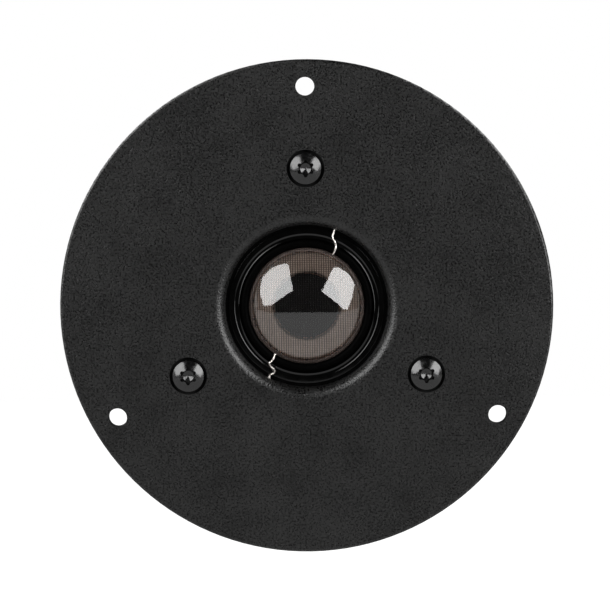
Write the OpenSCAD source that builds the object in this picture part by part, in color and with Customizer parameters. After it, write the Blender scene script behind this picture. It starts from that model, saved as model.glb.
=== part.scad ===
// Flange-mounted soft-dome tweeter with a ferrite motor and a sealed rear chamber.
// The origin is the centre of the flange's rear face. The tweeter faces -Y, and +Z is up.
// Every module is drawn about the tweeter's own axis, with +Z towards the listener.
// facing_front() turns it to the row's axes.

/* [Faceplate] */
// Diameter of the faceplate
plate_d = 120; // [112:1:130]
// Thickness of the faceplate
plate_t = 5; // [5:0.5:7]
// Radius of the sound opening
throat_r = 19.8; // [19.6:0.1:20.3]
// Rounding of the sound opening's lip
lip_r = 2.7; // [2:0.1:3.2]
// Rounding of the faceplate's outer edge
rim_r = 0.6; // [0.2:0.1:1]

/* [Flange holes] */
// Pitch circle of the flange's mounting holes
fixing_pcd = 107; // [104:1:108]
// Diameter of the flange's mounting holes
fixing_d = 4.6; // [4.2:0.1:5.4]

/* [Faceplate screws] */
// Pitch circle of the screws that hold the motor
screw_pcd = 67; // [64:0.5:70]
// Diameter of the wells the screw heads sit in
well_d = 9.2; // [8.6:0.1:10]
// Depth of the wells
well_depth = 2; // [1.8:0.1:2.4]
// Diameter of the pan heads
head_d = 7.6; // [7:0.1:8]
// Height of the pan heads
head_h = 3.1; // [2.8:0.1:3.2]
// Radius of the pan heads' crown
crown_r = 6.5; // [6:0.1:8]
// Thread diameter of the screws
thread_d = 4; // [3.5:0.1:4.2]
// Length of the screws under the head
screw_l = 8; // [7:0.5:8.5]

/* [Diaphragm] */
// Outside radius of the dome at its foot
dome_r = 14.2; // [14.1:0.05:14.25]
// Rise of the dome above its foot
dome_h = 5.2; // [5:0.1:7]
// Thickness of the coated cloth
cloth_t = 0.3; // [0.25:0.05:0.35]
// Mid radius of the surround's half roll
roll_r = 0.9; // [0.8:0.05:0.9]
// Outer radius of the diaphragm's mounting ring
ring_r = 25; // [24:0.5:26]
// Travel of the diaphragm each way from rest
travel = 0.8; // [0.3:0.1:0.8]

/* [Motor] */
// Radius of the front plate
front_plate_r = 39.5; // [38.5:0.5:39.5]
// Thickness of the front plate
front_plate_t = 6; // [5.5:0.5:7]
// Radius of the ferrite magnet
magnet_r = 37; // [35:0.5:38]
// Thickness of the ferrite magnet
magnet_t = 15; // [12:1:20]
// Thickness of the back plate
back_plate_t = 6; // [5:0.5:8]
// Radius of the vent through the pole piece
vent_r = 7.9; // [7.5:0.1:8.4]

/* [Rear chamber] */
// Outside radius of the rear chamber's cup
cup_r = 30; // [28:0.5:30]
// Depth of the rear chamber behind its flange
cup_depth = 18; // [12:1:26]

/* [Terminals] */
// Angle of the positive terminal round the axis
positive_angle = 69; // [66:1:72]
// Angle of the negative terminal round the axis
negative_angle = 242; // [240:1:245]
// Width of the terminal blades
blade_w = 4.8; // [4.4:0.1:4.8]

/* [Hidden] */
$fn = 96;
eps = 0.01;

plate_r = plate_d / 2;
screw_angles = [90, 210, 330];
fixing_angles = [90, 210, 330];
screw_clear_d = thread_d + 0.4;
socket_r = 2.15;
socket_depth = 1.7;
socket_point = 0.5;

// Heights along the axis. The flange's rear face is at 0.
ring_top = 1;
ring_bottom = -1;
cloth_foot = ring_top - cloth_t;
gasket_t = 0.4;
recess_depth = ring_top + gasket_t;
recess_r = ring_r + 0.2;
front_plate_back = -front_plate_t;
magnet_back = front_plate_back - magnet_t;
back_plate_back = magnet_back - back_plate_t;

// Diaphragm and voice coil
dome_sphere_r = (dome_r * dome_r + dome_h * dome_h) / (2 * dome_h);
dome_centre = cloth_foot + dome_h - dome_sphere_r;
roll_centre_r = dome_r + roll_r + cloth_t / 2;
surround_edge_r = 18.6;
ring_hole_r = roll_centre_r + roll_r;
clamp_in = roll_centre_r + roll_r + cloth_t / 2 + 0.05;
clamp_r = 19;
clamp_t = 0.75;
clamp_edge_r = 0.15;
groove_r = 0.65;
groove_lift = 0.2;
groove_centre_r = clamp_in + 0.75;
former_t = 0.15;
former_bottom = -5.4;
winding_t = 0.3;
winding_h = 3;
winding_bottom = -5;
gap_outer_r = dome_r + winding_t + 0.4;

// Motor
cap_t = 0.25;
pole_r = dome_r - former_t - 0.3 - cap_t;
pole_top = -0.6;
cap_top = pole_top + cap_t;
cap_skirt = 6;
spigot_r = 10;
fit_gap = 0.02;
foam_depth = 8;
felt_outer_r = 13;
felt_room = 0.1;
felt_top = dome_centre + sqrt(pow(dome_sphere_r - cloth_t, 2) - felt_outer_r * felt_outer_r)
    - travel - felt_room;
magnet_hole_r = 20;
motor_edge_r = 0.5;

// Pins between the diaphragm ring and the front plate
pin_r = 0.75;
pin_circle_r = 22.8;
pin_top = 0.5;
pin_bottom = -3;
pin_angles = [0, 180];

// Rear chamber
cup_wall = 2;
cup_flange_t = 2.5;
cup_edge_r = 2.5;
chamber_gasket_t = 0.5;
cup_front = back_plate_back - chamber_gasket_t;
cup_flange_back = cup_front - cup_flange_t;
cup_back = cup_flange_back - cup_depth;
cup_screw_r = cup_r + 3.5;
cup_screw_angles = [45, 135, 225, 315];
cup_screw_d = 3;
cup_screw_head_r = 2.7;
cup_screw_head_h = 1.8;
cup_screw_l = 7.5;
cup_screw_room = 0.4;
cup_slot_l = 2.6;
cup_slot_w = 0.5;
cup_slot_depth = 0.8;
cup_fillet_r = 1;
wool_gap = 1;

// Baffle gasket
baffle_gasket_t = 1.5;
baffle_gasket_in = 45;
baffle_gasket_inset = 1;
gasket_hole_room = 0.6;

// Terminals
channel_w = 7.2;
channel_out = 43.8;
channel_depth = recess_depth + 0.3;
notch_w = 3.2;
notch_top = 2.6;
carrier_w = 7;
carrier_t = 0.5;
carrier_in = 25.4;
carrier_out = 42.1;
carrier_drop = 7;
carrier_foot_h = 1.6;
carrier_room = 0.3;
blade_t = 0.5;
blade_in = 20.6;
blade_drop = 16;
strip_w = 4.8;
strip_top = carrier_t + blade_t;
mark_l = 2.4;
mark_arm = 1.8;
mark_w = 0.6;
mark_t = 0.3;

// Lead wires. Each point is its radius and angle about the axis, and its height.
wire_r = 0.28;
wire_steps = 4;
solder_r = 0.85;
solder_at = 21.4;
positive_route = [
    [21.4, 69, 1.4], [20.2, 69.2, 1.9], [19.1, 69.2, 2.2], [18, 68.8, 2.5], [17.1, 65.7, 2.9],
    [16.4, 63.9, 3.1], [15.5, 62.8, 2.9], [14.8, 62.6, 2.4], [14.4, 62.6, 1.95], [14.08, 62.6, 1.45]
];
negative_route = [
    [21.4, 242, 1.4], [20.2, 241.9, 1.9], [19.3, 241.5, 2.2], [18.4, 243, 2.45], [17.6, 243.1, 2.8],
    [17.2, 239.1, 3], [16.6, 236.4, 3], [15.9, 237, 2.8], [15.2, 237.4, 2.4], [14.08, 236.6, 1.45]
];

// Turns the tweeter's axis, +Z in every module, to the row's -Y.
module facing_front() {
    rotate([90, 0, 0]) children();
}

// Repeats its child at each angle, at radius r.
module round_axis(angles, r) {
    for (a = angles)
        rotate([0, 0, a]) translate([r, 0, 0]) children();
}

// A flat ring between two radii and two heights.
module ring(inner, outer, low, high) {
    translate([0, 0, low])
        difference() {
            cylinder(r = outer, h = high - low);
            translate([0, 0, -1]) cylinder(r = inner, h = high - low + 2);
        }
}

// Section of a square outer corner of radius r, to cut away from a profile whose corner is at [x, y].
module corner_cut(x, y, r, up = 1, out = 1) {
    translate([x, y]) scale([out, up]) difference() {
        translate([-r, -r]) square([r + 1, r + 1]);
        translate([-r, -r]) circle(r = r);
    }
}

// A straight bar along the radius, from inner to outer, centred on its width.
module radial_bar(inner, outer, width, low, high) {
    translate([inner, -width / 2, low]) cube([outer - inner, width, high - low]);
}

// Six-lobed driver socket of outer radius r.
module six_lobe(r) {
    difference() {
        circle(r = r * 0.9);
        for (a = [30:60:330])
            rotate(a) translate([r * 1.08, 0]) circle(r = r * 0.36);
    }
    for (a = [0:60:300])
        rotate(a) translate([r * 0.8, 0]) circle(r = r * 0.2);
}

// --- Front ---

module plate_section() {
    $fn = 48;
    difference() {
        translate([throat_r, 0]) square([plate_r - throat_r, plate_t]);
        corner_cut(plate_r, plate_t, rim_r);
        translate([throat_r, plate_t - lip_r]) difference() {
            translate([-1, 0]) square([lip_r + 1, lip_r + 1]);
            translate([lip_r, 0]) circle(r = lip_r);
        }
        translate([0, -1]) square([recess_r, recess_depth + 1]);
    }
}

module faceplate() {
    facing_front() color([0.15, 0.15, 0.15]) difference() {
        rotate_extrude() plate_section();
        round_axis(fixing_angles, fixing_pcd / 2)
            translate([0, 0, -1]) cylinder(d = fixing_d, h = plate_t + 2);
        round_axis(screw_angles, screw_pcd / 2) {
            translate([0, 0, -1]) cylinder(d = screw_clear_d, h = plate_t + 2);
            translate([0, 0, plate_t - well_depth]) cylinder(d = well_d, h = well_depth + 1);
        }
        for (a = [positive_angle, negative_angle])
            rotate([0, 0, a]) {
                radial_bar(ring_r - 1, channel_out, channel_w, -1, channel_depth);
                radial_bar(throat_r - 1, solder_at + 1.8, notch_w, 1, notch_top);
            }
    }
}

module baffle_gasket() {
    facing_front() color([0.08, 0.08, 0.08]) difference() {
        ring(baffle_gasket_in, plate_r - baffle_gasket_inset, -baffle_gasket_t, 0);
        round_axis(fixing_angles, fixing_pcd / 2)
            translate([0, 0, -baffle_gasket_t - 1])
                cylinder(d = fixing_d + gasket_hole_room, h = baffle_gasket_t + 2);
    }
}

module faceplate_screw() {
    translate([0, 0, plate_t - well_depth]) difference() {
        union() {
            intersection() {
                translate([0, 0, head_h - crown_r]) sphere(r = crown_r);
                cylinder(d = head_d, h = head_h + 1);
            }
            translate([0, 0, -screw_l]) cylinder(d = thread_d - 2 * fit_gap, h = screw_l + 0.2);
        }
        translate([0, 0, head_h - socket_depth]) linear_extrude(socket_depth + 1) six_lobe(socket_r);
        translate([0, 0, head_h - socket_depth - socket_point])
            cylinder(r1 = 0, r2 = socket_r * 0.62, h = socket_point + eps);
    }
}

module faceplate_screws() {
    facing_front() color([0.1, 0.1, 0.1])
        round_axis(screw_angles, screw_pcd / 2) faceplate_screw();
}

// --- Diaphragm assembly ---

module diaphragm_gasket() {
    facing_front() color([0.12, 0.12, 0.12]) difference() {
        ring(throat_r + 1, ring_r - 0.2, ring_top, ring_top + gasket_t);
        for (a = [positive_angle, negative_angle])
            rotate([0, 0, a]) radial_bar(throat_r, solder_at + 1.4, notch_w, 0, 3);
    }
}

module diaphragm_ring() {
    facing_front() color([0.1, 0.1, 0.11]) difference() {
        ring(ring_hole_r, ring_r, ring_bottom, ring_top);
        translate([0, 0, cloth_foot]) cylinder(r = surround_edge_r + 0.1, h = 2);
        for (a = [positive_angle, negative_angle])
            rotate([0, 0, a]) radial_bar(blade_in - 0.4, ring_r + 1, strip_w + 0.4, carrier_t - 0.1, 2);
        round_axis(pin_angles, pin_circle_r)
            translate([0, 0, ring_bottom - 1]) cylinder(r = pin_r + fit_gap, h = 1 + pin_top - ring_bottom);
    }
}

module clamp_section() {
    difference() {
        translate([clamp_in, ring_top]) square([clamp_r - clamp_in, clamp_t]);
        translate([groove_centre_r, ring_top + clamp_t + groove_lift]) circle(r = groove_r);
        corner_cut(clamp_r, ring_top + clamp_t, clamp_edge_r);
    }
}

module surround_clamp_ring() {
    facing_front() color([0.05, 0.05, 0.05]) rotate_extrude() clamp_section();
}

module surround_section() {
    translate([roll_centre_r, cloth_foot]) difference() {
        circle(r = roll_r + cloth_t / 2);
        circle(r = roll_r - cloth_t / 2);
        translate([-3, -3]) square([6, 3]);
    }
    translate([ring_hole_r - cloth_t / 2, cloth_foot])
        square([surround_edge_r - ring_hole_r + cloth_t / 2, cloth_t]);
}

module surround() {
    facing_front() color([0.06, 0.06, 0.06]) rotate_extrude() surround_section();
}

module dome() {
    facing_front() color([0.35, 0.31, 0.29]) intersection() {
        translate([0, 0, dome_centre]) difference() {
            sphere(r = dome_sphere_r);
            sphere(r = dome_sphere_r - cloth_t);
        }
        translate([0, 0, cloth_foot]) cylinder(r = dome_r + 1, h = dome_h + 1);
    }
}

module voice_coil_former() {
    facing_front() color([0.3, 0.25, 0.21])
        ring(dome_r - former_t, dome_r, former_bottom, cloth_foot);
}

module voice_coil_winding() {
    facing_front() color([0.72, 0.4, 0.2])
        ring(dome_r, dome_r + winding_t, winding_bottom, winding_bottom + winding_h);
}

// --- Lead wires and terminals ---

function on_axis(p) = [p[0] * cos(p[1]), p[0] * sin(p[1]), p[2]];

// A point on the smooth curve through a, b, c and d, between b and c.
function between(a, b, c, d, t) =
    b + 0.5 * t * (c - a) + t * t * (a - 2.5 * b + 2 * c - 0.5 * d)
    + t * t * t * (1.5 * b - 0.5 * a - 1.5 * c + 0.5 * d);

function smooth(p) = [
    for (i = [0:len(p) - 2], k = [0:wire_steps - 1])
        between(p[max(i - 1, 0)], p[i], p[i + 1], p[min(i + 2, len(p) - 1)], k / wire_steps),
    p[len(p) - 1]
];

function direction(p, i) =
    let (d = p[min(i + 1, len(p) - 1)] - p[max(i - 1, 0)]) d / norm(d);

// The next sideways direction, kept square to the path and turned as little as possible.
function square_to(d, last) =
    let (s = last - (last * d) * d) s / norm(s);

function sideways(p, i = 0, last = [0, 0, 1]) =
    i == len(p) ? [] :
    let (s = square_to(direction(p, i), last)) concat([s], sideways(p, i + 1, s));

// A round wire of radius r along the route.
module wire(route, r, sides = 8) {
    path = smooth([for (q = route) on_axis(q)]);
    side = sideways(path);
    rings = len(path);
    points = [
        for (i = [0:rings - 1], k = [0:sides - 1])
            let (d = direction(path, i), s = side[i], u = cross(d, s), a = 360 * k / sides)
                path[i] + r * (cos(a) * s + sin(a) * u)
    ];
    walls = [
        for (i = [0:rings - 2], k = [0:sides - 1])
            let (n = (k + 1) % sides)
                [i * sides + k, (i + 1) * sides + k, (i + 1) * sides + n, i * sides + n]
    ];
    near_end = [for (k = [0:sides - 1]) k];
    far_end = [for (k = [sides - 1:-1:0]) (rings - 1) * sides + k];
    polyhedron(points, concat(walls, [near_end], [far_end]));
}

module lead_wire_positive() {
    facing_front() color([0.85, 0.78, 0.72]) wire(positive_route, wire_r);
}

module lead_wire_negative() {
    facing_front() color([0.85, 0.78, 0.72]) wire(negative_route, wire_r);
}

module solder_joints() {
    facing_front() color([0.78, 0.78, 0.8])
        round_axis([positive_angle, negative_angle], solder_at)
            translate([0, 0, strip_top]) intersection() {
                sphere(r = solder_r);
                cylinder(r = solder_r + 1, h = solder_r + 1);
            }
}

module terminal(angle) {
    blade_hole_d = 1.4;
    blade_hole_up = 3;
    tip = 1;
    facing_front() color([0.8, 0.68, 0.35]) rotate([0, 0, angle]) difference() {
        union() {
            radial_bar(blade_in, carrier_out + blade_t, strip_w, carrier_t, strip_top);
            radial_bar(carrier_out, carrier_out + blade_t, blade_w, -blade_drop, strip_top);
        }
        translate([carrier_out - 1, 0, -blade_drop + blade_hole_up])
            rotate([0, 90, 0]) cylinder(d = blade_hole_d, h = 3);
        for (side = [-1, 1])
            translate([carrier_out - 1, side * blade_w / 2, -blade_drop])
                rotate([45, 0, 0]) cube([3, tip, tip], center = true);
    }
}

module terminal_positive() {
    terminal(positive_angle);
}

module terminal_negative() {
    terminal(negative_angle);
}

// Moulded insulator that carries one blade over the edge of the front plate.
module terminal_carrier(angle, plus) {
    back = front_plate_r + carrier_room;
    side_w = (carrier_w - strip_w) / 2 - 0.1;
    facing_front() color([0.12, 0.12, 0.13]) rotate([0, 0, angle]) {
        radial_bar(carrier_in, carrier_out, carrier_w, 0, carrier_t);
        radial_bar(back, carrier_out, carrier_w, -carrier_drop, carrier_t);
        for (side = [-1, 1])
            translate([back, side * (carrier_w - side_w) / 2 - side_w / 2, -carrier_drop])
                cube([channel_out - carrier_room - back, side_w, carrier_drop + strip_top]);
        translate([back, -carrier_w / 2, -carrier_drop - carrier_foot_h])
            cube([carrier_out - back, carrier_w, carrier_foot_h + eps]);
        translate([carrier_out - 1, 0, -carrier_drop - carrier_foot_h]) mirror([1, 0, 0])
            polarity_mark(plus, back);
    }
}

// A raised plus or minus on the carrier's lower end.
module polarity_mark(plus, back) {
    translate([carrier_out - 1 - (back + carrier_out) / 2, 0, -mark_t]) {
        translate([-mark_w / 2, -mark_l / 2, 0]) cube([mark_w, mark_l, mark_t + eps]);
        if (plus)
            translate([-mark_arm / 2, -mark_w / 2, 0]) cube([mark_arm, mark_w, mark_t + eps]);
    }
}

module terminal_carrier_positive() {
    terminal_carrier(positive_angle, true);
}

module terminal_carrier_negative() {
    terminal_carrier(negative_angle, false);
}

module locating_pins() {
    facing_front() color([0.8, 0.68, 0.35])
        round_axis(pin_angles, pin_circle_r)
            translate([0, 0, pin_bottom]) cylinder(r = pin_r, h = pin_top - pin_bottom - 0.2);
}

// --- Motor ---

module front_plate() {
    facing_front() color([0.3, 0.3, 0.32]) difference() {
        rotate_extrude() difference() {
            translate([gap_outer_r, front_plate_back]) square([front_plate_r - gap_outer_r, front_plate_t]);
            corner_cut(front_plate_r, 0, motor_edge_r);
            corner_cut(front_plate_r, front_plate_back, motor_edge_r, up = -1);
            translate([0, ring_bottom]) square([recess_r, 3]);
        }
        round_axis(screw_angles, screw_pcd / 2)
            translate([0, 0, front_plate_back - 1]) cylinder(d = thread_d, h = front_plate_t + 2);
        round_axis(pin_angles, pin_circle_r)
            translate([0, 0, pin_bottom - 0.2]) cylinder(r = pin_r + fit_gap, h = 4);
    }
}

module magnet() {
    facing_front() color([0.22, 0.21, 0.21]) rotate_extrude() difference() {
        translate([magnet_hole_r, magnet_back]) square([magnet_r - magnet_hole_r, magnet_t]);
        corner_cut(magnet_r, front_plate_back, motor_edge_r);
        corner_cut(magnet_r, magnet_back, motor_edge_r, up = -1);
    }
}

module back_plate() {
    facing_front() color([0.3, 0.3, 0.32]) difference() {
        rotate_extrude() difference() {
            translate([spigot_r, back_plate_back]) square([magnet_r - spigot_r, back_plate_t]);
            corner_cut(magnet_r, magnet_back, motor_edge_r);
            corner_cut(magnet_r, back_plate_back, motor_edge_r, up = -1);
        }
        round_axis(cup_screw_angles, cup_screw_r)
            translate([0, 0, back_plate_back - 1]) cylinder(d = cup_screw_d, h = 6);
    }
}

module pole_piece() {
    facing_front() color([0.14, 0.14, 0.15]) difference() {
        union() {
            translate([0, 0, magnet_back]) cylinder(r = pole_r, h = pole_top - magnet_back);
            translate([0, 0, back_plate_back]) cylinder(r = spigot_r - fit_gap, h = back_plate_t + 1);
        }
        translate([0, 0, back_plate_back - 1]) cylinder(r = vent_r, h = pole_top - back_plate_back + 2);
    }
}

module copper_cap() {
    facing_front() color([0.8, 0.45, 0.28]) {
        ring(pole_r, pole_r + cap_t, pole_top - cap_skirt, cap_top);
        ring(vent_r, pole_r + cap_t, pole_top, cap_top);
    }
}

module pole_felt_ring() {
    facing_front() color([0.5, 0.42, 0.36]) ring(vent_r + 0.1, felt_outer_r, cap_top, felt_top);
}

module vent_foam() {
    facing_front() color([0.15, 0.15, 0.15])
        translate([0, 0, magnet_back]) cylinder(r = vent_r, h = foam_depth);
}

// --- Rear chamber ---

module chamber_gasket() {
    facing_front() color([0.1, 0.1, 0.1]) difference() {
        ring(cup_r - cup_wall, magnet_r - 0.3, cup_front, back_plate_back);
        round_axis(cup_screw_angles, cup_screw_r)
            translate([0, 0, cup_front - 1]) cylinder(d = cup_screw_d + cup_screw_room, h = 3);
    }
}

module cup_section() {
    difference() {
        union() {
            translate([0, cup_back]) square([cup_r, cup_front - cup_back]);
            translate([0, cup_flange_back]) square([magnet_r, cup_flange_t]);
        }
        translate([-1, cup_back + cup_wall]) square([cup_r - cup_wall + 1, cup_depth + cup_flange_t]);
        corner_cut(cup_r, cup_back, cup_edge_r, up = -1);
        corner_cut(magnet_r, cup_flange_back, motor_edge_r, up = -1);
    }
    translate([cup_r - cup_wall - cup_fillet_r, cup_back + cup_wall - eps]) difference() {
        square([cup_fillet_r + eps, cup_fillet_r]);
        translate([0, cup_fillet_r]) circle(r = cup_fillet_r);
    }
}

module rear_chamber() {
    facing_front() color([0.12, 0.12, 0.13]) difference() {
        rotate_extrude() cup_section();
        round_axis(cup_screw_angles, cup_screw_r)
            translate([0, 0, cup_flange_back - 1])
                cylinder(d = cup_screw_d + cup_screw_room, h = cup_flange_t + 2);
    }
}

module chamber_wool() {
    facing_front() color([0.85, 0.84, 0.8])
        translate([0, 0, cup_back + cup_wall + wool_gap])
            cylinder(r = cup_r - cup_wall - wool_gap, h = cup_depth - cup_wall);
}

module chamber_screw() {
    translate([0, 0, cup_flange_back]) difference() {
        union() {
            translate([0, 0, -cup_screw_head_h]) cylinder(r = cup_screw_head_r, h = cup_screw_head_h);
            cylinder(d = cup_screw_d - 2 * fit_gap, h = cup_screw_l);
        }
        for (a = [0, 90])
            rotate([0, 0, a]) translate([0, 0, -cup_screw_head_h])
                cube([cup_slot_l, cup_slot_w, 2 * cup_slot_depth], center = true);
    }
}

module chamber_screws() {
    facing_front() color([0.1, 0.1, 0.1])
        round_axis(cup_screw_angles, cup_screw_r) chamber_screw();
}

faceplate();
baffle_gasket();
faceplate_screws();
diaphragm_gasket();
diaphragm_ring();
surround_clamp_ring();
surround();
dome();
voice_coil_former();
voice_coil_winding();
lead_wire_positive();
lead_wire_negative();
solder_joints();
terminal_positive();
terminal_negative();
terminal_carrier_positive();
terminal_carrier_negative();
locating_pins();
front_plate();
magnet();
back_plate();
pole_piece();
copper_cap();
pole_felt_ring();
vent_foam();
chamber_gasket();
rear_chamber();
chamber_wool();
chamber_screws();
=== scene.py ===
"""Dresses, lights and frames a flange-mounted soft-dome tweeter.

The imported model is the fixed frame. It faces -Y with +Z up, in metres, and its
origin is the centre of the flange's rear face. Everything here is placed from
the frame's own boxes.
"""

import logging
import math
from abc import ABC, abstractmethod
from collections.abc import Sequence
from dataclasses import dataclass, field
from enum import Enum
from itertools import pairwise

import bpy
from mathutils import Matrix, Vector


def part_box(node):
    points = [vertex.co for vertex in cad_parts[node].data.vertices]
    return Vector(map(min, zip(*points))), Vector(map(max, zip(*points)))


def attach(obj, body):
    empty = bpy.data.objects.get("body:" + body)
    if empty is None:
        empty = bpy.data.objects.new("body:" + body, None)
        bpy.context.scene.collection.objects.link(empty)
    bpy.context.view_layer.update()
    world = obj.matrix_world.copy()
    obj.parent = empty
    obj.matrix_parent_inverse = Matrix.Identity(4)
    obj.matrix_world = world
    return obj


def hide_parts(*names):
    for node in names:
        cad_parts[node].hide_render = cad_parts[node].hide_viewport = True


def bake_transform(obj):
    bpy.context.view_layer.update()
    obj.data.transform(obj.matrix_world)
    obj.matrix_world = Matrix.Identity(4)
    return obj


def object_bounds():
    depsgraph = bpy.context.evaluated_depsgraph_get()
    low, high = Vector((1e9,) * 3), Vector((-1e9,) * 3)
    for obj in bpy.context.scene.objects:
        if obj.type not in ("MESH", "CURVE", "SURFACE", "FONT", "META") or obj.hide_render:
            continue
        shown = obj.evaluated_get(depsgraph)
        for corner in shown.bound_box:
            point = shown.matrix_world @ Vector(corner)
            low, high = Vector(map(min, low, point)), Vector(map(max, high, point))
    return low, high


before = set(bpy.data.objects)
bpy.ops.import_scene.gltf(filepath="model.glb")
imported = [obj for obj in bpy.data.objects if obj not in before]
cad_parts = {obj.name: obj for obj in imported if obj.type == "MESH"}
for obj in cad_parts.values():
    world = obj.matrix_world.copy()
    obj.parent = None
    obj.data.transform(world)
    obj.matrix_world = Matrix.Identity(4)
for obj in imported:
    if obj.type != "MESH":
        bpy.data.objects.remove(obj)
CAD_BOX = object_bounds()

LOG = logging.getLogger("tweeter")
MM = 0.001

Socket = bpy.types.NodeSocket
Outline = list[tuple[float, float]]


class Body(Enum):
    """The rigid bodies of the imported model."""

    FRAME = "frame"
    DIAPHRAGM = "diaphragm"


class Slot(Enum):
    """Material slot names for the new pieces; nothing in the script reads them."""

    RING = "gloss_ring"
    SURROUND = "surround_cloth"
    DOME = "dome_cloth"
    LEAD = "lead_wire"


@dataclass(frozen=True)
class Extent:
    """How far a turned piece reaches about and along the tweeter's axis, in metres."""

    radius: float
    front: float
    back: float

    @classmethod
    def of(cls, node: str) -> "Extent":
        """Reads a node's box.

        Args:
            node: The CAD node's name.

        Returns:
            Its outer radius, and the heights of its front and back ahead of the flange's rear face.
        """
        low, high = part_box(node)
        return cls(radius=(high[0] - low[0]) / 2, front=-low[1], back=-high[1])


# --- Material graphs ---


class Graph:
    """A material's node tree, with short calls for the nodes that the finishes share."""

    def __init__(self, name: str) -> None:
        """Starts an empty material.

        Args:
            name: The material's name.
        """
        self.material = bpy.data.materials.new(name)
        self.material.use_nodes = True
        self.tree = self.material.node_tree
        self.tree.nodes.clear()
        self.output = self.tree.nodes.new("ShaderNodeOutputMaterial")

    def put(self, target: Socket, value: Socket | float | Sequence[float]) -> None:
        """Links a socket to an input, or sets the input's own value.

        Args:
            target: The input.
            value: A socket to link, or a constant.
        """
        if isinstance(value, bpy.types.NodeSocket):
            self.tree.links.new(value, target)
        else:
            target.default_value = value

    def calc(self, operation: str, *values: Socket | float) -> Socket:
        """Adds a Math node.

        Args:
            operation: The node's operation, such as "MULTIPLY".
            *values: Its inputs in order.

        Returns:
            The result's socket.
        """
        node = self.tree.nodes.new("ShaderNodeMath")
        node.operation = operation
        for target, value in zip(node.inputs, values):
            self.put(target, value)
        return node.outputs[0]

    def place(self) -> Socket:
        """Returns the point's place in the row frame, in metres."""
        return self.tree.nodes.new("ShaderNodeTexCoord").outputs["Object"]

    def axes(self, vector: Socket) -> tuple[Socket, Socket, Socket]:
        """Splits a vector.

        Args:
            vector: The vector's socket.

        Returns:
            Its X, Y and Z sockets.
        """
        node = self.tree.nodes.new("ShaderNodeSeparateXYZ")
        self.put(node.inputs[0], vector)
        return node.outputs[0], node.outputs[1], node.outputs[2]

    def vector(self, x: Socket | float, y: Socket | float, z: Socket | float) -> Socket:
        """Joins three numbers into a vector.

        Args:
            x: The first number.
            y: The second number.
            z: The third number.

        Returns:
            The vector's socket.
        """
        node = self.tree.nodes.new("ShaderNodeCombineXYZ")
        for target, value in zip(node.inputs, (x, y, z)):
            self.put(target, value)
        return node.outputs[0]

    def from_axis(self) -> Socket:
        """Finds how far a point is from the tweeter's axis.

        Returns:
            The distance, in metres.
        """
        x, _, z = self.axes(self.place())
        square = self.calc("ADD", self.calc("MULTIPLY", x, x), self.calc("MULTIPLY", z, z))
        return self.calc("SQRT", square)

    def from_points(self, points: Sequence[tuple[float, float]]) -> Socket:
        """Finds how far a point is from the nearest of some lines that run along the tweeter's axis.

        Args:
            points: Each line's X and Z, in metres.

        Returns:
            The distance to the nearest line, in metres.
        """
        x, _, z = self.axes(self.place())
        nearest: Socket | None = None
        for across, up in points:
            square = self.calc("POWER", self.calc("SUBTRACT", x, across), 2.0)
            square = self.calc("ADD", square, self.calc("POWER", self.calc("SUBTRACT", z, up), 2.0))
            away = self.calc("SQRT", square)
            nearest = away if nearest is None else self.calc("MINIMUM", nearest, away)
        return nearest

    def noise(self, size: float, vector: Socket | None = None, detail: float = 2.0) -> Socket:
        """Adds soft noise.

        Args:
            size: The width of one patch, in the vector's own units.
            vector: Where to read it, or None for the place in the row frame.
            detail: How many finer layers it carries.

        Returns:
            A value from 0 to 1.
        """
        node = self.tree.nodes.new("ShaderNodeTexNoise")
        node.inputs["Scale"].default_value = 1 / size
        node.inputs["Detail"].default_value = detail
        self.put(node.inputs["Vector"], vector or self.place())
        return node.outputs[0]

    def cells(self, size: float, feature: str = "F1") -> Socket:
        """Adds cell noise.

        Args:
            size: The width of one cell, in metres.
            feature: The node's feature, such as "F1".

        Returns:
            The distance within each cell.
        """
        node = self.tree.nodes.new("ShaderNodeTexVoronoi")
        node.feature = feature
        node.inputs["Scale"].default_value = 1 / size
        self.put(node.inputs["Vector"], self.place())
        return node.outputs["Distance"]

    def fade(self, value: Socket, start: float, end: float, low: float, high: float) -> Socket:
        """Turns a value smoothly from one level to another.

        Args:
            value: The value that drives it.
            start: Where it begins to turn.
            end: Where it has turned.
            low: The level before start.
            high: The level after end.

        Returns:
            The level's socket.
        """
        node = self.tree.nodes.new("ShaderNodeMapRange")
        node.interpolation_type = "SMOOTHSTEP"
        for target, item in zip(node.inputs, (value, start, end, low, high)):
            self.put(target, item)
        return node.outputs[0]

    def tint(self, value: Socket, *stops: tuple[float, Sequence[float]]) -> Socket:
        """Turns a value into colour.

        Args:
            value: The value, from 0 to 1.
            *stops: Places along it and their linear colours.

        Returns:
            The colour's socket.
        """
        node = self.tree.nodes.new("ShaderNodeValToRGB")
        ramp = node.color_ramp
        while len(ramp.elements) < len(stops):
            ramp.elements.new(1.0)
        for element, (position, colour) in zip(ramp.elements, stops):
            element.position = position
            element.color = (*colour, 1.0)
        self.put(node.inputs[0], value)
        return node.outputs[0]

    def bump(self, height: Socket, depth: float, strength: float = 1.0) -> Socket:
        """Turns a height into a surface normal.

        Args:
            height: The height, from 0 to 1.
            depth: How deep a height of 1 is, in metres.
            strength: How much of it is used.

        Returns:
            The normal's socket.
        """
        node = self.tree.nodes.new("ShaderNodeBump")
        node.inputs["Strength"].default_value = strength
        node.inputs["Distance"].default_value = depth
        self.put(node.inputs["Height"], height)
        return node.outputs[0]

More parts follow.
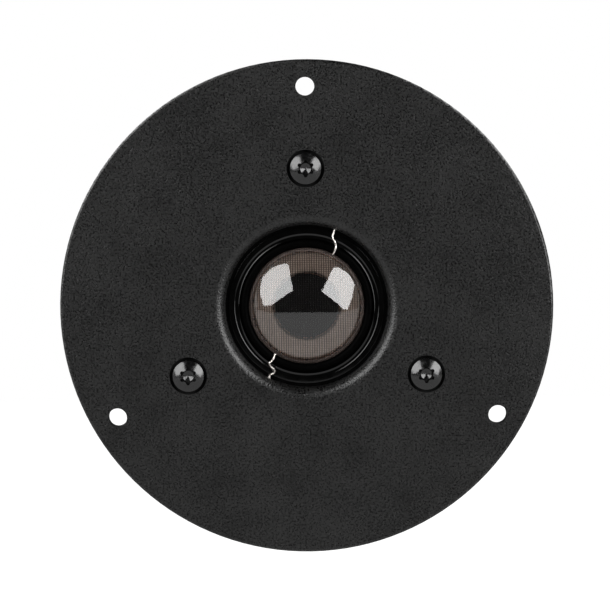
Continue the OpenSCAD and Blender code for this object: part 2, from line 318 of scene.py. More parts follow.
    def surface(self, **inputs: Socket | float | Sequence[float]) -> bpy.types.Material:
        """Ends the graph in one shader.

        Args:
            **inputs: The shader's inputs, with their spaces written as underscores.

        Returns:
            The finished material.
        """
        shader = self.tree.nodes.new("ShaderNodeBsdfPrincipled")
        names = {socket.name.replace(" ", "_").lower(): socket for socket in shader.inputs}
        for name, value in inputs.items():
            target = names[name]
            if target.type == "RGBA" and not isinstance(value, bpy.types.NodeSocket):
                value = (*value, 1.0)
            self.put(target, value)
        self.tree.links.new(shader.outputs[0], self.output.inputs["Surface"])
        return self.material


class Finish(ABC):
    """A surface finish that can be put on pieces."""

    @abstractmethod
    def build(self) -> bpy.types.Material:
        """Makes the finish's material."""

    def on_nodes(self, *nodes: str) -> None:
        """Puts the finish on CAD nodes.

        Args:
            *nodes: Their names.
        """
        material = self.build()
        for name in nodes:
            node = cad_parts[name]
            if not node.material_slots:
                node.data.materials.append(material)
            for slot in node.material_slots:
                slot.material = material
            LOG.info("%s dressed with %s", name, material.name)

    def on_piece(self, piece: bpy.types.Object) -> bpy.types.Object:
        """Puts the finish on a new piece.

        Args:
            piece: The piece.

        Returns:
            The same piece.
        """
        piece.data.materials.clear()
        piece.data.materials.append(self.build())
        return piece


# --- Finishes ---


@dataclass(frozen=True)
class PowderCoat(Finish):
    """Fine-textured black powder coat with a mottled grain, rough down its holes and screw wells, where its
    colour is painted black as shade.
    """

    holes: Sequence[tuple[float, float]]
    hole: float
    wells: Sequence[tuple[float, float]]
    well: float
    grain: float = 0.45 * MM
    depth: float = 0.085 * MM
    edge: float = 0.06 * MM
    dark: tuple[float, float, float] = (0.0002, 0.0002, 0.0002)
    light: tuple[float, float, float] = (0.012, 0.012, 0.0118)

    def build(self) -> bpy.types.Material:
        """Makes the finish's material.

        Returns:
            The material, with its procedural nodes.
        """
        graph = Graph("powder_coat")
        grain = graph.noise(self.grain, detail=3.0)
        drift = graph.noise(9 * MM, detail=1.0)
        pits = graph.cells(self.grain * 0.9)
        mottle = graph.calc("ADD", graph.calc("MULTIPLY", grain, 0.8), graph.calc("MULTIPLY", drift, 0.2))
        height = graph.calc("ADD", grain, graph.calc("MULTIPLY", pits, 0.5))
        # Painted shade: inside the holes and the screw wells the colour goes to black, standing in for the
        # shade that fills them; outside is 1 clear of it.
        hole_painted_shade = graph.fade(graph.from_points(self.holes), self.hole, self.hole + self.edge, 0.0, 1.0)
        well_painted_shade = graph.fade(graph.from_points(self.wells), self.well, self.well + self.edge, 0.0, 1.0)
        outside = graph.calc("MULTIPLY", hole_painted_shade, well_painted_shade)
        shown = graph.calc("MULTIPLY", mottle, outside)
        gloss = graph.fade(grain, 0.3, 0.7, 0.25, 0.34)
        return graph.surface(
            # The black stop at 0 is the painted shade down the holes and screw wells.
            base_color=graph.tint(shown, (0.0, (0.0, 0.0, 0.0)), (0.42, self.dark), (0.58, self.light)),
            roughness=graph.fade(outside, 0.0, 1.0, 0.9, gloss),
            specular_ior_level=0.5,
            normal=graph.bump(height, self.depth),
        )


@dataclass(frozen=True)
class BlackedSteel(Finish):
    """Gloss-black plated steel, as on the screws, with faint wear."""

    gloss: float = 0.16

    def build(self) -> bpy.types.Material:
        """Makes the finish's material.

        Returns:
            The material, with its procedural nodes.
        """
        graph = Graph("blacked_steel")
        wear = graph.noise(0.9 * MM, detail=4.0)
        scuffs = graph.noise(0.12 * MM, detail=2.0)
        return graph.surface(
            base_color=graph.tint(wear, (0.35, (0.001, 0.001, 0.001)), (0.75, (0.004, 0.004, 0.0042))),
            roughness=graph.fade(wear, 0.35, 0.7, self.gloss, self.gloss + 0.14),
            specular_ior_level=0.6,
            coat_weight=0.35,
            coat_roughness=0.08,
            normal=graph.bump(scuffs, 0.003 * MM),
        )


@dataclass(frozen=True)
class MouldedPlastic(Finish):
    """Black moulded plastic with a fine spark-eroded texture."""

    name: str = "moulded_plastic"
    grain: float = 0.22 * MM
    depth: float = 0.012 * MM
    roughness: float = 0.48

    def build(self) -> bpy.types.Material:
        """Makes the finish's material.

        Returns:
            The material, with its procedural nodes.
        """
        graph = Graph(self.name)
        grain = graph.noise(self.grain, detail=3.0)
        flow = graph.noise(6 * MM, detail=2.0)
        return graph.surface(
            base_color=graph.tint(flow, (0.3, (0.009, 0.009, 0.0095)), (0.7, (0.016, 0.016, 0.017))),
            roughness=graph.fade(flow, 0.3, 0.7, self.roughness, self.roughness + 0.1),
            normal=graph.bump(grain, self.depth),
        )


@dataclass(frozen=True)
class GlossRing(Finish):
    """Polished black moulding with hairline marks round it."""

    def build(self) -> bpy.types.Material:
        """Makes the finish's material.

        Returns:
            The material, with its procedural nodes.
        """
        graph = Graph("gloss_ring")
        _, y, _ = graph.axes(graph.place())
        turned = graph.noise(0.1 * MM, graph.vector(graph.from_axis(), y, 0.0), detail=2.0)
        smear = graph.noise(2.2 * MM, detail=2.0)
        return graph.surface(
            base_color=graph.tint(smear, (0.3, (0.0005, 0.0005, 0.0005)), (0.7, (0.0012, 0.0012, 0.0012))),
            roughness=graph.fade(smear, 0.35, 0.65, 0.07, 0.12),
            specular_ior_level=0.5,
            normal=graph.bump(turned, 0.0015 * MM),
        )


@dataclass(frozen=True)
class OpenWeave(Finish):
    """Open dome cloth: dark threads with gaps between, closed by cement near the rim."""

    warp: float = 0.58 * MM
    weft: float = 0.44 * MM
    gap: float = 0.42
    thread: float = 0.86
    rim_from: float = 12.9 * MM
    rim_full: float = 13.6 * MM
    rim_black: float = 13.6 * MM
    rim_to: float = 14.6 * MM

    def _ribs(self, graph: Graph, along: Socket, pitch: float) -> Socket:
        """Returns rounded threads side by side, from 0 in the gaps to 1 on their crowns."""
        turn = graph.calc("MULTIPLY", along, 2 * math.pi / pitch)
        return graph.calc("MULTIPLY_ADD", graph.calc("SINE", turn), 0.5, 0.5)

    def build(self) -> bpy.types.Material:
        """Makes the finish's material.

        Returns:
            The material, with its procedural nodes.
        """
        graph = Graph("open_weave")
        x, _, z = graph.axes(graph.place())
        wander = graph.calc("MULTIPLY_ADD", graph.noise(2.5 * MM), 0.22 * MM, -0.11 * MM)
        slub = graph.noise(0.5 * MM, detail=2.0)
        warp = self._ribs(graph, graph.calc("ADD", x, wander), self.warp)
        weft = self._ribs(graph, graph.calc("ADD", z, wander), self.weft)
        uneven = graph.calc("MULTIPLY_ADD", slub, 0.5, -0.25)
        warp = graph.calc("ADD", warp, uneven)
        height = graph.calc("MAXIMUM", warp, graph.calc("MULTIPLY", weft, 0.75))
        cover = graph.fade(height, 0.35, 0.72, self.gap, self.thread)
        out = graph.from_axis()
        rim = graph.fade(out, self.rim_from, self.rim_full, 0.0, 1.0)
        black = graph.fade(out, self.rim_black, self.rim_to, 1.0, 0.0)
        between = graph.fade(height, 0.3, 0.8, 1.0, 0.35)
        cement = graph.calc("MULTIPLY", graph.calc("MULTIPLY", rim, black), between)
        return graph.surface(
            base_color=graph.tint(cement, (0.0, (0.0012, 0.001, 0.0009)), (1.0, (0.06, 0.047, 0.042))),
            roughness=0.5,
            specular_ior_level=0.02,
            alpha=graph.calc("MAXIMUM", cover, rim),
            normal=graph.bump(height, 0.02 * MM),
        )


@dataclass(frozen=True)
class ClearCoating(Finish):
    """The clear damping film that seals the dome."""

    def build(self) -> bpy.types.Material:
        """Makes the finish's material.

        Returns:
            The material, with its procedural nodes.
        """
        graph = Graph("clear_coating")
        x, _, _ = graph.axes(graph.place())
        ribs = graph.calc("SINE", graph.calc("MULTIPLY", x, 2 * math.pi / (0.58 * MM)))
        flow = graph.noise(3.0 * MM, detail=1.0)
        height = graph.calc("ADD", graph.calc("MULTIPLY", ribs, 0.05), flow)
        return graph.surface(
            base_color=(1.0, 1.0, 1.0),
            roughness=0.0,
            ior=1.0,
            transmission_weight=1.0,
            specular_ior_level=0.0,
            coat_weight=1.0,
            coat_roughness=0.05,
            coat_ior=1.8,
            coat_normal=graph.bump(height, 0.006 * MM),
        )


@dataclass(frozen=True)
class CoatedCloth(Finish):
    """Doped black surround cloth, its weave showing faintly through the coat."""

    thread: float = 0.3 * MM

    def build(self) -> bpy.types.Material:
        """Makes the finish's material.

        Returns:
            The material, with its procedural nodes.
        """
        graph = Graph("coated_cloth")
        x, _, z = graph.axes(graph.place())
        over = graph.calc("SINE", graph.calc("MULTIPLY", x, 2 * math.pi / self.thread))
        under = graph.calc("SINE", graph.calc("MULTIPLY", z, 2 * math.pi / self.thread))
        weave = graph.calc("MULTIPLY_ADD", graph.calc("MULTIPLY", over, under), 0.5, 0.5)
        dope = graph.noise(0.8 * MM, detail=3.0)
        return graph.surface(
            base_color=graph.tint(dope, (0.3, (0.0003, 0.0003, 0.0003)), (0.7, (0.0009, 0.0009, 0.0009))),
            roughness=graph.fade(dope, 0.3, 0.7, 0.36, 0.48),
            specular_ior_level=0.012,
            normal=graph.bump(graph.calc("ADD", weave, dope), 0.01 * MM),
        )


@dataclass(frozen=True)
class WoolFelt(Finish):
    """Pressed wool felt, brown, with loose fibres and painted shade darkening a ragged edge round its hole.
    """

    hole: float = 8.0 * MM
    ragged: float = 0.9 * MM

    def build(self) -> bpy.types.Material:
        """Makes the finish's material.

        Returns:
            The material, with its procedural nodes.
        """
        graph = Graph("wool_felt")
        fibre = graph.noise(0.25 * MM, detail=5.0)
        patch = graph.noise(2.0 * MM, detail=2.0)
        blend = graph.calc("ADD", graph.calc("MULTIPLY", fibre, 0.6), graph.calc("MULTIPLY", patch, 0.4))
        torn = graph.calc("MULTIPLY_ADD", graph.noise(0.7 * MM, detail=3.0), self.ragged, -0.5 * self.ragged)
        out = graph.calc("ADD", graph.from_axis(), torn)
        # Painted shade: towards the ragged edge of the hole the colour falls to the dark shade stop.
        whole = graph.fade(out, self.hole, self.hole + self.ragged, 0.0, 1.0)
        shown = graph.calc("MULTIPLY", blend, whole)
        shade, body, tips = (0.02, 0.014, 0.012), (0.34, 0.25, 0.2), (0.62, 0.48, 0.4)
        return graph.surface(
            base_color=graph.tint(shown, (0.0, shade), (0.3, body), (0.7, tips)),
            roughness=0.95,
            sheen_weight=0.3,
            specular_ior_level=0.1,
            normal=graph.bump(fibre, 0.08 * MM),
        )


@dataclass(frozen=True)
class ClosedFoam(Finish):
    """Black closed-cell foam."""

    cell: float = 0.35 * MM

    def build(self) -> bpy.types.Material:
        """Makes the finish's material.

        Returns:
            The material, with its procedural nodes.
        """
        graph = Graph("closed_foam")
        cells = graph.cells(self.cell)
        tone = graph.noise(3 * MM, detail=2.0)
        return graph.surface(
            base_color=graph.tint(tone, (0.3, (0.008, 0.008, 0.008)), (0.7, (0.019, 0.019, 0.018))),
            roughness=0.85,
            specular_ior_level=0.3,
            normal=graph.bump(cells, 0.06 * MM),
        )


@dataclass(frozen=True)
class FormerFilm(Finish):
    """Heat-proof brown film, as on the voice coil's former."""

    def build(self) -> bpy.types.Material:
        """Makes the finish's material.

        Returns:
            The material, with its procedural nodes.
        """
        graph = Graph("former_film")
        tone = graph.noise(1.5 * MM, detail=2.0)
        return graph.surface(
            base_color=graph.tint(tone, (0.3, (0.05, 0.034, 0.024)), (0.7, (0.09, 0.062, 0.044))),
            roughness=0.25,
            coat_weight=0.5,
            normal=graph.bump(tone, 0.01 * MM),
        )


@dataclass(frozen=True)
class Copper(Finish):
    """Bright copper, with fine rings round the axis as on a coil's turns."""

    pitch: float = 0.12 * MM

    def build(self) -> bpy.types.Material:
        """Makes the finish's material.

        Returns:
            The material, with its procedural nodes.
        """
        graph = Graph("copper")
        _, y, _ = graph.axes(graph.place())
        turns = graph.calc("SINE", graph.calc("MULTIPLY", y, 2 * math.pi / self.pitch))
        tone = graph.noise(1.0 * MM, detail=3.0)
        return graph.surface(
            base_color=graph.tint(tone, (0.3, (0.62, 0.26, 0.14)), (0.7, (0.8, 0.42, 0.26))),
            metallic=1.0,
            roughness=graph.fade(tone, 0.3, 0.7, 0.22, 0.38),
            normal=graph.bump(turns, 0.02 * MM),
        )


@dataclass(frozen=True)
class TinnedMetal(Finish):
    """Bright tinned metal: the leads' tinsel, or the solder that holds them."""

    name: str
    colour: tuple[float, float, float]
    grain: float
    depth: float
    roughness: float

    def build(self) -> bpy.types.Material:
        """Makes the finish's material.

        Returns:
            The material, with its procedural nodes.
        """
        graph = Graph(self.name)
        grain = graph.noise(self.grain, detail=3.0)
        dull = tuple(0.72 * part for part in self.colour)
        return graph.surface(
            base_color=graph.tint(grain, (0.3, dull), (0.65, self.colour)),
            metallic=1.0,
            roughness=graph.fade(grain, 0.3, 0.7, self.roughness, self.roughness + 0.15),
            normal=graph.bump(grain, self.depth),
        )


@dataclass(frozen=True)
class RolledBrass(Finish):
    """Rolled brass strip, lightly tarnished."""

    def build(self) -> bpy.types.Material:
        """Makes the finish's material.

        Returns:
            The material, with its procedural nodes.
        """
        graph = Graph("rolled_brass")
        x, y, z = graph.axes(graph.place())
        along = graph.vector(x, graph.calc("MULTIPLY", y, 0.06), z)
        streaks = graph.noise(0.14 * MM, along, detail=3.0)
        tarnish = graph.noise(2.4 * MM, detail=4.0)
        return graph.surface(
            base_color=graph.tint(tarnish, (0.3, (0.46, 0.31, 0.12)), (0.6, (0.76, 0.56, 0.27))),
            metallic=1.0,
            roughness=graph.fade(tarnish, 0.35, 0.65, 0.36, 0.24),
            normal=graph.bump(streaks, 0.006 * MM),
        )


@dataclass(frozen=True)
class TurnedSteel(Finish):
    """Zinc-plated steel, turned on a lathe, so its marks run round the axis."""

    pitch: float = 0.16 * MM

    def build(self) -> bpy.types.Material:
        """Makes the finish's material.

        Returns:
            The material, with its procedural nodes.
        """
        graph = Graph("turned_steel")
        _, y, _ = graph.axes(graph.place())
        marks = graph.noise(self.pitch, graph.vector(graph.from_axis(), y, 0.0), detail=4.0)
        bands = graph.noise(3.5 * MM, graph.vector(graph.from_axis(), y, 0.0), detail=2.0)
        bloom = graph.noise(5 * MM, detail=4.0)
        return graph.surface(
            base_color=graph.tint(bloom, (0.3, (0.36, 0.36, 0.355)), (0.7, (0.56, 0.56, 0.565))),
            metallic=1.0,
            roughness=graph.fade(bands, 0.35, 0.65, 0.3, 0.42),
            normal=graph.bump(marks, 0.012 * MM),
        )


@dataclass(frozen=True)
class SinteredFerrite(Finish):
    """Charcoal ferrite with a speckled, slightly chalky surface."""

    def build(self) -> bpy.types.Material:
        """Makes the finish's material.

        Returns:
            The material, with its procedural nodes.
        """
        graph = Graph("sintered_ferrite")
        speckle = graph.noise(0.3 * MM, detail=4.0)
        chalk = graph.noise(4 * MM, detail=4.0)
        mottle = graph.calc("ADD", graph.calc("MULTIPLY", speckle, 0.5), graph.calc("MULTIPLY", chalk, 0.5))
        return graph.surface(
            base_color=graph.tint(mottle, (0.35, (0.022, 0.021, 0.022)), (0.65, (0.055, 0.053, 0.053))),
            roughness=graph.fade(chalk, 0.35, 0.65, 0.5, 0.72),
            normal=graph.bump(speckle, 0.02 * MM),
        )


@dataclass(frozen=True)
class LooseWool(Finish):
    """Off-white damping wool."""

    def build(self) -> bpy.types.Material:
        """Makes the finish's material.

        Returns:
            The material, with its procedural nodes.
        """
        graph = Graph("loose_wool")
        fibre = graph.noise(0.6 * MM, detail=6.0)
        return graph.surface(
            base_color=graph.tint(fibre, (0.3, (0.5, 0.48, 0.42)), (0.7, (0.78, 0.76, 0.7))),
            roughness=1.0,
            sheen_weight=0.4,
            normal=graph.bump(fibre, 0.4 * MM),
        )


# --- Shapes ---


def make_piece(name: str, points: Sequence[Vector], faces: Sequence[Sequence[int]]) -> bpy.types.Object:
    """Makes a mesh object.

    Args:
        name: The piece's name.
        points: Its points, in the row frame.
        faces: The points' numbers round each face.

    Returns:
        The new piece, shaded smooth except at sharp edges.
    """
    mesh = bpy.data.meshes.new(name)
    mesh.from_pydata([tuple(point) for point in points], [], [tuple(face) for face in faces])
    mesh.validate()
    mesh.shade_smooth()
    mesh.set_sharp_from_angle(angle=math.radians(40))
    piece = bpy.data.objects.new(name, mesh)
    bpy.context.scene.collection.objects.link(piece)
    return piece


def lathe(name: str, outline: Outline, steps: int = 192, closed: bool = False) -> bpy.types.Object:
    """Turns an outline about the tweeter's axis.

    Args:
        name: The piece's name.
        outline: Pairs of radius and height ahead of the flange's rear face, in metres.
        steps: How many faces go round.
        closed: Whether the outline's last point joins its first.

    Returns:
        The turned piece.
    """
    points = [
        Vector((radius * math.cos(turn), -height, radius * math.sin(turn)))
        for turn in (2 * math.pi * step / steps for step in range(steps))
        for radius, height in outline
    ]
    count = len(outline)
    links = list(pairwise(range(count))) + ([(count - 1, 0)] if closed else [])
    faces = []
    for step in range(steps):
        here, there = step * count, (step + 1) % steps * count
        faces += [(here + a, there + a, there + b, here + b) for a, b in links]
    return make_piece(name, points, faces)


def arc(centre: tuple[float, float], radius: float, start: float, end: float, steps: int) -> Outline:
    """Lists points along an arc of an outline.

    Args:
        centre: The arc's centre, as radius and height.
        radius: The arc's radius.
        start: The angle it starts at, in degrees from the radius towards the height.
        end: The angle it ends at.
        steps: How many stretches it has.

    Returns:
        Its points, both ends included.
    """
    turns = (math.radians(start + (end - start) * step / steps) for step in range(steps + 1))
    return [(centre[0] + radius * math.cos(turn), centre[1] + radius * math.sin(turn)) for turn in turns]


def smooth_route(route: Sequence[Vector], steps: int) -> list[Vector]:
    """Runs one smooth curve through a route's points.

    Args:
        route: The points.
        steps: How many stretches go between two of them.

    Returns:
        The curve's points.
    """
    curve = []
    last = len(route) - 1
    for index in range(last):
        a, b = route[max(index - 1, 0)], route[index]
        c, d = route[index + 1], route[min(index + 2, last)]
        for step in range(steps):
            t = step / steps
            curve.append(
                b
                + 0.5 * t * (c - a)
                + t**2 * (a - 2.5 * b + 2 * c - 0.5 * d)
                + t**3 * (1.5 * b - 0.5 * a - 1.5 * c + 0.5 * d)
            )
    return [*curve, route[last]]


def carried_sides(curve: Sequence[Vector]) -> list[tuple[Vector, Vector]]:
    """Finds two sideways directions at each point, turned as little as possible along the curve.

    Args:
        curve: The curve's points.

    Returns:
        A pair of directions for each point.
    """
    sides = []
    side = Vector((0.0, 1.0, 0.0))
    for index in range(len(curve)):
        ahead = (curve[min(index + 1, len(curve) - 1)] - curve[max(index - 1, 0)]).normalized()
        side = (side - side.dot(ahead) * ahead).normalized()
        sides.append((side, ahead.cross(side)))
    return sides


# --- The tweeter's sub-assemblies ---


@dataclass
class Front:
    """The faceplate, its screws and the gasket behind the flange."""

    fixing_circle: float = 53.5 * MM
    fixing_hole: float = 2.3 * MM
    screw_circle: float = 33.5 * MM
    screw_well: float = 4.6 * MM

    def _round_axis(self, radius: float) -> list[tuple[float, float]]:
        """Returns the X and Z of three points on a circle, the first one at the top."""
        turns = (math.radians(angle) for angle in (90, 210, 330))
        return [(radius * math.cos(turn), radius * math.sin(turn)) for turn in turns]

    def dress(self) -> None:
        """Puts the finishes on."""
        coat = PowderCoat(
            holes=self._round_axis(self.fixing_circle),
            hole=self.fixing_hole,
            wells=self._round_axis(self.screw_circle),
            well=self.screw_well,
        )
        coat.on_nodes("faceplate")
        BlackedSteel().on_nodes("faceplate_screws")
        ClosedFoam().on_nodes("baffle_gasket", "diaphragm_gasket")


@dataclass
class Diaphragm:
    """The dome with its clear film, the surround, and the rings that hold them."""

    cloth: float = 0.3 * MM
    film_lift: float = 0.03 * MM
    groove_middle: float = 17.1 * MM
    groove_floor: float = 1.75 * MM
    groove_corner: float = 0.3 * MM
    groove_slope: float = 15.0
    groove_wall: float = 75.0
    edge: float = 0.15 * MM
    dome: Extent = field(default_factory=lambda: Extent.of("dome"))
    surround: Extent = field(default_factory=lambda: Extent.of("surround"))
    ring: Extent = field(default_factory=lambda: Extent.of("surround_clamp_ring"))
    ring_in: float = 16.35 * MM

    def _cap(self, name: str, lift: float) -> bpy.types.Object:
        """Makes one skin of the dome.

        Args:
            name: The skin's name.
            lift: How far it stands off the dome's outside.

        Returns:
            The skin.
        """
        rise = self.dome.front - self.dome.back
        sphere = (self.dome.radius**2 + rise**2) / (2 * rise)
        foot = math.degrees(math.asin((sphere - rise) / sphere))
        centre = (0.0, self.dome.front - sphere)
        outline = arc(centre, sphere + lift, foot, 89.95, 72)
        return lathe(name, outline)

    def build_dome(self) -> None:
        """Makes the dome's cloth and its film."""
        cloth = self._cap("dome_weave", 0.0)
        film = self._cap("dome_film", self.film_lift)
        film.visible_shadow = False
        OpenWeave().on_piece(cloth)
        ClearCoating().on_piece(film)
        for skin in (cloth, film):
            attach(skin, Body.DIAPHRAGM.value)
            LOG.info("%s made", skin.name)
        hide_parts("dome")

    def build_surround(self) -> None:
        """Makes the rolled surround, which runs between the frame and the dome."""
        foot = self.surround.back
        crown = self.surround.front - foot
        inner = self.dome.radius
        middle = inner + crown
        flat = self.surround.radius
        outline = [(inner + 0.02 * MM, foot)]
        outline += arc((middle, foot), crown, 178, 12, 40)
        outline += [(middle + crown + 0.02 * MM, foot + self.cloth), (flat, foot + self.cloth), (flat, foot)]
        outline += arc((middle, foot), crown - self.cloth, 0, 180, 24)
        piece = lathe("surround_roll", outline, closed=True)
        CoatedCloth().on_piece(piece)
        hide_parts("surround")
        start = Vector((middle + crown, -foot, 0.0))
        end = Vector((inner, -foot, 0.0))
        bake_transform(piece)
        self._bend_all_round(piece, start.x, end.x)
        LOG.info("%s made", piece.name)

    def _bend_all_round(self, piece: bpy.types.Object, held: float, moving: float) -> None:
        """Works out, for each point, how far it lies from the held radius towards the moving one, by distance
        from the axis; the result isn't kept.

        Args:
            piece: The ring.
            held: The radius that stays with the frame.
            moving: The radius that goes with the dome.
        """
        for vertex in piece.data.vertices:
            share = (held - math.hypot(vertex.co.x, vertex.co.z)) / (held - moving)
            share = min(max(share, 0.0), 1.0)

    def build_ring(self) -> None:
        """Makes the glossy ring that clamps the surround, with its groove."""
        back, top, outer = self.ring.back, self.ring.front, self.ring.radius
        slope, wall = math.radians(self.groove_slope), math.radians(self.groove_wall)
        flat = (self.groove_floor - self.groove_corner) * math.sin(slope)
        lift = self.groove_corner * math.cos(wall)
        centre = (self.groove_middle, top + lift + (self.groove_floor - self.groove_corner) * math.cos(slope))
        outline = [(self.ring_in, back)]
        down, near, far = 270, self.groove_slope, self.groove_wall
        outline += arc((centre[0] - flat, top + lift), self.groove_corner, down - far, down - near, 10)
        outline += arc(centre, self.groove_floor, down - near, down + near, 16)[1:-1]
        outline += arc((centre[0] + flat, top + lift), self.groove_corner, down + near, down + far, 10)
        outline += arc((outer - self.edge, top - self.edge), self.edge, 90, 0, 8)
        outline += [(outer, back)]
        piece = lathe("clamp_ring", outline, closed=True)
        GlossRing().on_piece(piece)
        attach(piece, Body.FRAME.value)
        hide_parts("surround_clamp_ring")
        LOG.info("%s made", piece.name)

    def dress(self) -> None:
        """Puts finishes on the CAD nodes behind the dome."""
        GlossRing().on_nodes("diaphragm_ring")
        FormerFilm().on_nodes("voice_coil_former")
        Copper().on_nodes("voice_coil_winding", "copper_cap")


@dataclass
class Lead:
    """A tinsel lead: fine strands twisted together, soldered at one end and loose to the dome."""

    name: str
    node: str
    route: Sequence[tuple[float, float, float]]
    strands: int = 3
    strand: float = 0.13 * MM
    twist_radius: float = 0.12 * MM
    pitch: float = 1.2 * MM
    sides: int = 8

    def curve(self) -> list[Vector]:
        """Finds the lead's centre line.

        Returns:
            The line's points, in metres in the row frame.
        """
        points = []
        for radius, angle, height in self.route:
            turn = math.radians(angle)
            points.append(Vector((radius * math.cos(turn), -height, radius * math.sin(turn))) * MM)
        return smooth_route(points, 14)

    def build(self) -> None:
        """Makes the strands, which run between the frame and the dome."""
        curve = self.curve()
        sides = carried_sides(curve)
        points: list[Vector] = []
        faces: list[tuple[int, ...]] = []
        for strand in range(self.strands):
            path = []
            run = 0.0
            for index, point in enumerate(curve):
                run += (point - curve[index - 1]).length if index else 0.0
                turn = 2 * math.pi * (run / self.pitch + strand / self.strands)
                across, over = sides[index]
                path.append(point + self.twist_radius * (math.cos(turn) * across + math.sin(turn) * over))
            self._add_strand(path, points, faces)
        piece = make_piece(self.name, points, faces)
        tinsel = TinnedMetal("tinsel", (0.9, 0.85, 0.81), 0.12 * MM, 0.03 * MM, 0.12)
        tinsel.on_piece(piece)
        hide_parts(self.node)
        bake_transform(piece)
        LOG.info("%s made", piece.name)

    def _add_strand(self, path: Sequence[Vector], points: list[Vector], faces: list[tuple[int, ...]]) -> None:
        """Adds one strand's tube.

        Args:
            path: The strand's centre line.
            points: The piece's points, which grow.
            faces: The piece's faces, which grow.
        """
        first = len(points)
        count = self.sides
        for point, (across, over) in zip(path, carried_sides(path)):
            for side in range(count):
                turn = 2 * math.pi * side / count
                points.append(point + self.strand * (math.cos(turn) * across + math.sin(turn) * over))
        for ring in range(len(path) - 1):
            here, there = first + ring * count, first + (ring + 1) * count
            for side in range(count):
                after = (side + 1) % count
                faces.append((here + side, here + after, there + after, there + side))
        faces.append(tuple(first + side for side in reversed(range(count))))
        faces.append(tuple(first + (len(path) - 1) * count + side for side in range(count)))


@dataclass
class Wiring:
    """The two leads, their solder joints, and the terminals behind the flange."""

    positive: Lead = field(
        default_factory=lambda: Lead(
            name="lead_positive",
            node="lead_wire_positive",
            route=(
                (21.4, 69, 1.4), (20.2, 69.2, 1.9), (19.1, 69.2, 2.2), (18, 68.8, 2.5),
                (17.1, 65.7, 2.9), (16.4, 63.9, 3.1), (15.5, 62.8, 2.9), (14.8, 62.6, 2.4),
                (14.4, 62.6, 1.95), (14.08, 62.6, 1.45),
            ),
        )
    )
    negative: Lead = field(
        default_factory=lambda: Lead(
            name="lead_negative",
            node="lead_wire_negative",
            route=(
                (21.4, 242, 1.4), (20.2, 241.9, 1.9), (19.3, 241.5, 2.2), (18.4, 243, 2.45),
                (17.6, 243.1, 2.8), (17.2, 239.1, 3), (16.6, 236.4, 3), (15.9, 237, 2.8),
                (15.2, 237.4, 2.4), (14.08, 236.6, 1.45),
            ),
        )
    )

    def build(self) -> None:
        """Makes both leads."""
        self.positive.build()
        self.negative.build()

    def dress(self) -> None:
        """Puts finishes on the CAD nodes."""
        TinnedMetal("solder", (0.8, 0.8, 0.81), 0.5 * MM, 0.02 * MM, 0.2).on_nodes("solder_joints")
        RolledBrass().on_nodes("terminal_positive", "terminal_negative", "locating_pins")
        carriers = ("terminal_carrier_positive", "terminal_carrier_negative")
        MouldedPlastic(name="carrier_plastic").on_nodes(*carriers)


@dataclass
class Motor:
    """The plates, the magnet and the pole with its felt and foam."""

    def dress(self) -> None:
        """Puts the finishes on."""
        TurnedSteel().on_nodes("front_plate", "back_plate")
        MouldedPlastic(name="phosphated_steel", grain=0.1 * MM, roughness=0.6).on_nodes("pole_piece")
        SinteredFerrite().on_nodes("magnet")
        WoolFelt().on_nodes("pole_felt_ring")
        ClosedFoam(cell=0.6 * MM).on_nodes("vent_foam")


@dataclass
class RearChamber:
    """The cup behind the motor, its gasket, screws and wool."""

    def dress(self) -> None:
        """Puts the finishes on."""
        cup = MouldedPlastic(name="cup_plastic", grain=0.35 * MM, depth=0.02 * MM, roughness=0.5)
        cup.on_nodes("rear_chamber")
        ClosedFoam().on_nodes("chamber_gasket")
        BlackedSteel(gloss=0.3).on_nodes("chamber_screws")
        LooseWool().on_nodes("chamber_wool")


# --- The studio ---


@dataclass(frozen=True)
class Softbox:
    """A flat lamp panel. Its corners are directions from the tweeter."""

    name: str
    corners: Sequence[tuple[float, float]]
    distance: float
    radiance: float

    def build(self) -> None:
        """Makes the panel, which the camera doesn't see."""
        points = []
        for azimuth, elevation in self.corners:
            turn, lift = math.radians(azimuth), math.radians(elevation)
            flat = math.cos(lift)
            aim = Vector((math.sin(turn) * flat, -math.cos(turn) * flat, math.sin(lift)))
            points.append(aim * self.distance)
        piece = make_piece(self.name, points, [tuple(range(len(points)))])
        graph = Graph(self.name)
        lamp = graph.tree.nodes.new("ShaderNodeEmission")
        lamp.inputs["Strength"].default_value = self.radiance
        graph.put(graph.output.inputs["Surface"], lamp.outputs[0])
        piece.data.materials.append(graph.material)
        piece.visible_camera = False
        LOG.info("%s lit", self.name)


@dataclass(frozen=True)
class Camera:
    """The view: a little above the axis, almost square on to the flange."""

    distance: float = 0.7
    elevation: float = 3.0
    roll: float = -0.5
    field: float = 0.1483
    aim_across: float = -0.42 * MM
    aim_up: float = 0.38 * MM

    def build(self) -> None:
        """Makes the scene's camera."""
        front = Extent.of("faceplate").front
        target = Vector((self.aim_across, -front, self.aim_up))
        lift = math.radians(self.elevation)
        towards = Vector((0.0, -math.cos(lift), math.sin(lift)))
        camera = bpy.data.cameras.new("camera")
        camera.lens = camera.sensor_width * self.distance / self.field
        camera.clip_start = 0.01
        holder = bpy.data.objects.new("camera", camera)
        bpy.context.scene.collection.objects.link(holder)
        turn = (-towards).to_track_quat("-Z", "Y").to_matrix().to_4x4()
        roll = Matrix.Rotation(math.radians(self.roll), 4, "Z")
        holder.matrix_world = Matrix.Translation(target + towards * self.distance) @ turn @ roll
        bpy.context.scene.camera = holder


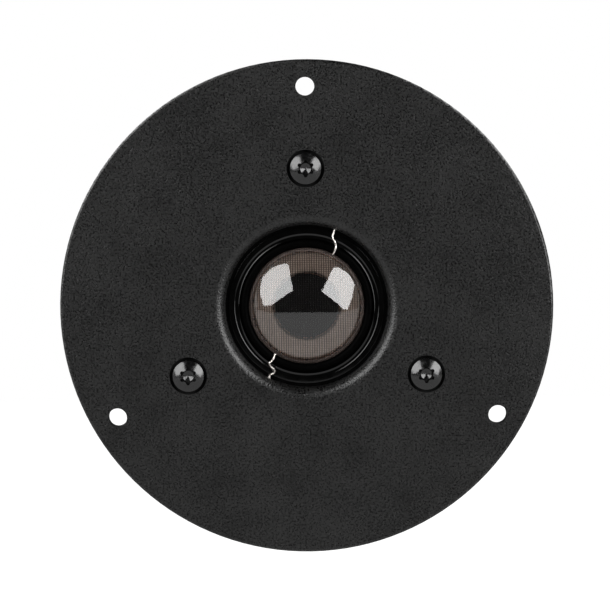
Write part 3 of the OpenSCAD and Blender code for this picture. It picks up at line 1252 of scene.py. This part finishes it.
@dataclass
class Studio:
    """The floor, the lamps and the backdrop."""

    floor_drop: float = 0.1
    floor_front: float = 0.88
    floor_turn: float = 50.0
    floor_reach: float = 1.6
    floor_seen: float = 1.1
    floor_glow: float = 0.5
    backdrop: float = 1.0
    room: float = 0.02
    lamps: Sequence[Softbox] = (
        Softbox(
            name="softbox_left",
            corners=((-18, 18), (-46, -1), (-58, -2), (-65, 13), (-68, 28), (-61, 42), (-40, 52), (-33, 50)),
            distance=0.9,
            radiance=5.6,
        ),
        Softbox(
            name="softbox_right",
            corners=((20, 16), (39, 38), (47, 44), (56, 43), (69, 29), (70, 21), (63, 9), (55, -7), (49, -7)),
            distance=0.9,
            radiance=6.4,
        ),
        Softbox(
            name="board_left",
            corners=((-66, -4), (-71, 14), (-74, 28), (-70, 44), (-92, 48), (-104, 20), (-96, -8)),
            distance=1.0,
            radiance=0.7,
        ),
        Softbox(
            name="softbox_back_left",
            corners=((-110, 15), (-150, 15), (-150, 60), (-110, 60)),
            distance=1.1,
            radiance=7.0,
        ),
        Softbox(
            name="softbox_back_right",
            corners=((115, 20), (150, 20), (150, 55), (115, 55)),
            distance=1.1,
            radiance=5.0,
        ),
    )

    def build(self) -> None:
        """Sets the whole studio up."""
        self._floor()
        for lamp in self.lamps:
            lamp.build()
        self._world()
        bpy.context.scene.view_settings.view_transform = "Standard"
        bpy.context.scene.view_settings.look = "None"

    def _floor(self) -> None:
        """Makes the plain pale floor."""
        low, _ = CAD_BOX
        height = low[2] - self.floor_drop
        reach = self.floor_reach
        edge = arc((0.0, 0.0), self.floor_front, -90 - self.floor_turn, -90 + self.floor_turn, 16)
        shoulder = edge[-1][1]
        outline = [*edge, (reach, shoulder), (reach, reach), (-reach, reach), (-reach, shoulder)]
        corners = [Vector((x, y, height)) for x, y in outline]
        piece = make_piece("floor", corners, [tuple(range(len(corners)))])
        graph = Graph("pale_floor")
        seen = graph.tree.nodes.new("ShaderNodeLightPath").outputs["Is Camera Ray"]
        graph.surface(
            base_color=(0.06, 0.06, 0.06),
            roughness=0.9,
            specular_ior_level=0.1,
            emission_color=(1.0, 1.0, 1.0),
            emission_strength=graph.fade(seen, 0.0, 1.0, self.floor_glow, self.floor_seen),
        )
        piece.data.materials.append(graph.material)

    def _world(self) -> None:
        """Makes a white backdrop behind the tweeter and a dim room for its reflections."""
        world = bpy.data.worlds.new("studio")
        bpy.context.scene.world = world
        world.use_nodes = True
        tree = world.node_tree
        tree.nodes.clear()
        output = tree.nodes.new("ShaderNodeOutputWorld")
        seen = tree.nodes.new("ShaderNodeLightPath").outputs["Is Camera Ray"]
        mix = tree.nodes.new("ShaderNodeMixShader")
        room = tree.nodes.new("ShaderNodeBackground")
        room.inputs["Strength"].default_value = self.room
        backdrop = tree.nodes.new("ShaderNodeBackground")
        backdrop.inputs["Color"].default_value = (1.0, 1.0, 1.0, 1.0)
        backdrop.inputs["Strength"].default_value = self.backdrop
        tree.links.new(seen, mix.inputs[0])
        tree.links.new(room.outputs[0], mix.inputs[1])
        tree.links.new(backdrop.outputs[0], mix.inputs[2])
        tree.links.new(mix.outputs[0], output.inputs["Surface"])


def main() -> None:
    """Builds the camera, the tweeter's pieces and the studio in order."""
    logging.basicConfig(level=logging.INFO, format="%(name)s: %(message)s")
    Camera().build()
    Front().dress()
    diaphragm = Diaphragm()
    diaphragm.build_dome()
    diaphragm.build_surround()
    diaphragm.build_ring()
    diaphragm.dress()
    wiring = Wiring()
    wiring.build()
    wiring.dress()
    Motor().dress()
    RearChamber().dress()
    Studio().build()


if __name__ == "__main__":
    main()
